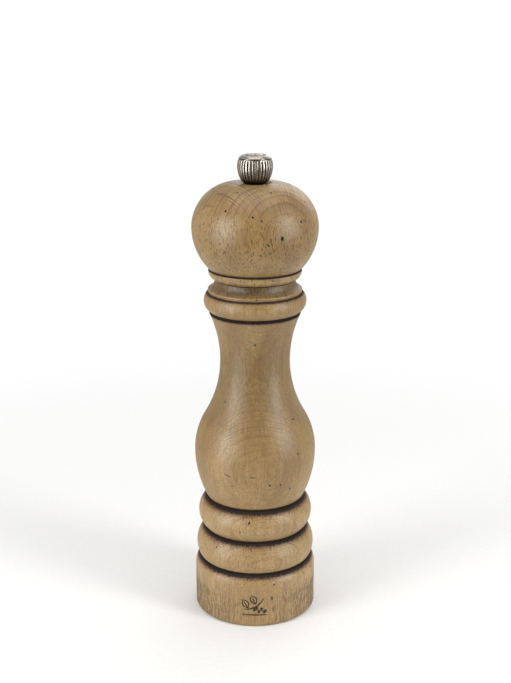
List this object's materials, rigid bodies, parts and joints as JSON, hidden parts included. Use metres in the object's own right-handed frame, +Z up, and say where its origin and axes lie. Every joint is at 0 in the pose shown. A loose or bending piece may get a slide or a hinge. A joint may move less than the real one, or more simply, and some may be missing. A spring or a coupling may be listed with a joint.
{
  "type": "pepper mill",
  "caption": "Turned wooden pepper mill with a ball-shaped head that turns a steel burr, ringed base and a fluted metal adjusting knob.",
  "frame": {"origin": "centre of the base's underside, on the surface that it stands on", "axes": "+Z up along the shaft, towards the knob; -Y is the side that carries the burnt mark"},
  "size_m": [0.0582, 0.0582, 0.22],
  "materials": {
    "body_beech": "aged satin beech",
    "head_beech": "aged satin beech",
    "knob_metal": "dark antiqued nickel, polished on the ridges",
    "brass": "turned",
    "zinc_steel": "zinc plated, dull",
    "bright_steel": "bright drawn",
    "spring_steel": "oiled",
    "burr_steel": "case hardened, dark"
  },
  "bodies": {
    "mill_body": {"wooden_body": "body_beech", "housing": "zinc_steel", "base_plate": "zinc_steel", "base_screws": "bright_steel", "ring_burr": "burr_steel", "bridge": "zinc_steel", "bridge_rivets": "zinc_steel"},
    "guide": {"guide_bush": "brass", "bush_clip": "bright_steel"},
    "shaft": {"drive_shaft": "bright_steel", "male_burr": "burr_steel", "cracking_cone": "burr_steel", "burr_nut": "bright_steel", "seat_washer": "bright_steel", "spring": "spring_steel"},
    "head": {"wooden_head": "head_beech", "drive_plate": "zinc_steel", "drive_screws": "bright_steel", "top_bush": "brass"},
    "washer": {"knob_washer": "knob_metal"},
    "knob": {"knob_shell": "knob_metal", "knob_insert": "brass", "knob_cap": "knob_metal"}
  },
  "joints": [
    {"name": "head_turn", "type": "hinge", "parent": "mill_body", "child": "guide", "pos_m": [0, 0, 0.03], "axis": [0, 0, 1], "continuous": true},
    {"name": "burr_feed", "type": "slide", "parent": "guide", "child": "shaft", "axis": [0, 0, 1], "range_m": [-0.0016, 0.0008], "deforming": ["spring"]},
    {"name": "head_lift", "type": "slide", "parent": "guide", "child": "head", "axis": [0, 0, 1], "range_m": [0, 0.072]},
    {"name": "knob_lift", "type": "slide", "parent": "head", "child": "washer", "axis": [0, 0, 1], "range_m": [0, 0.02]},
    {"name": "knob_turn", "type": "hinge", "parent": "washer", "child": "knob", "pos_m": [0, 0, 0.212], "axis": [0, 0, 1], "range_deg": [-365, 725]}
  ],
  "couplings": [
    {"joint": "knob_turn", "follows": "burr_feed", "rad_per_m": -7854}
  ]
}
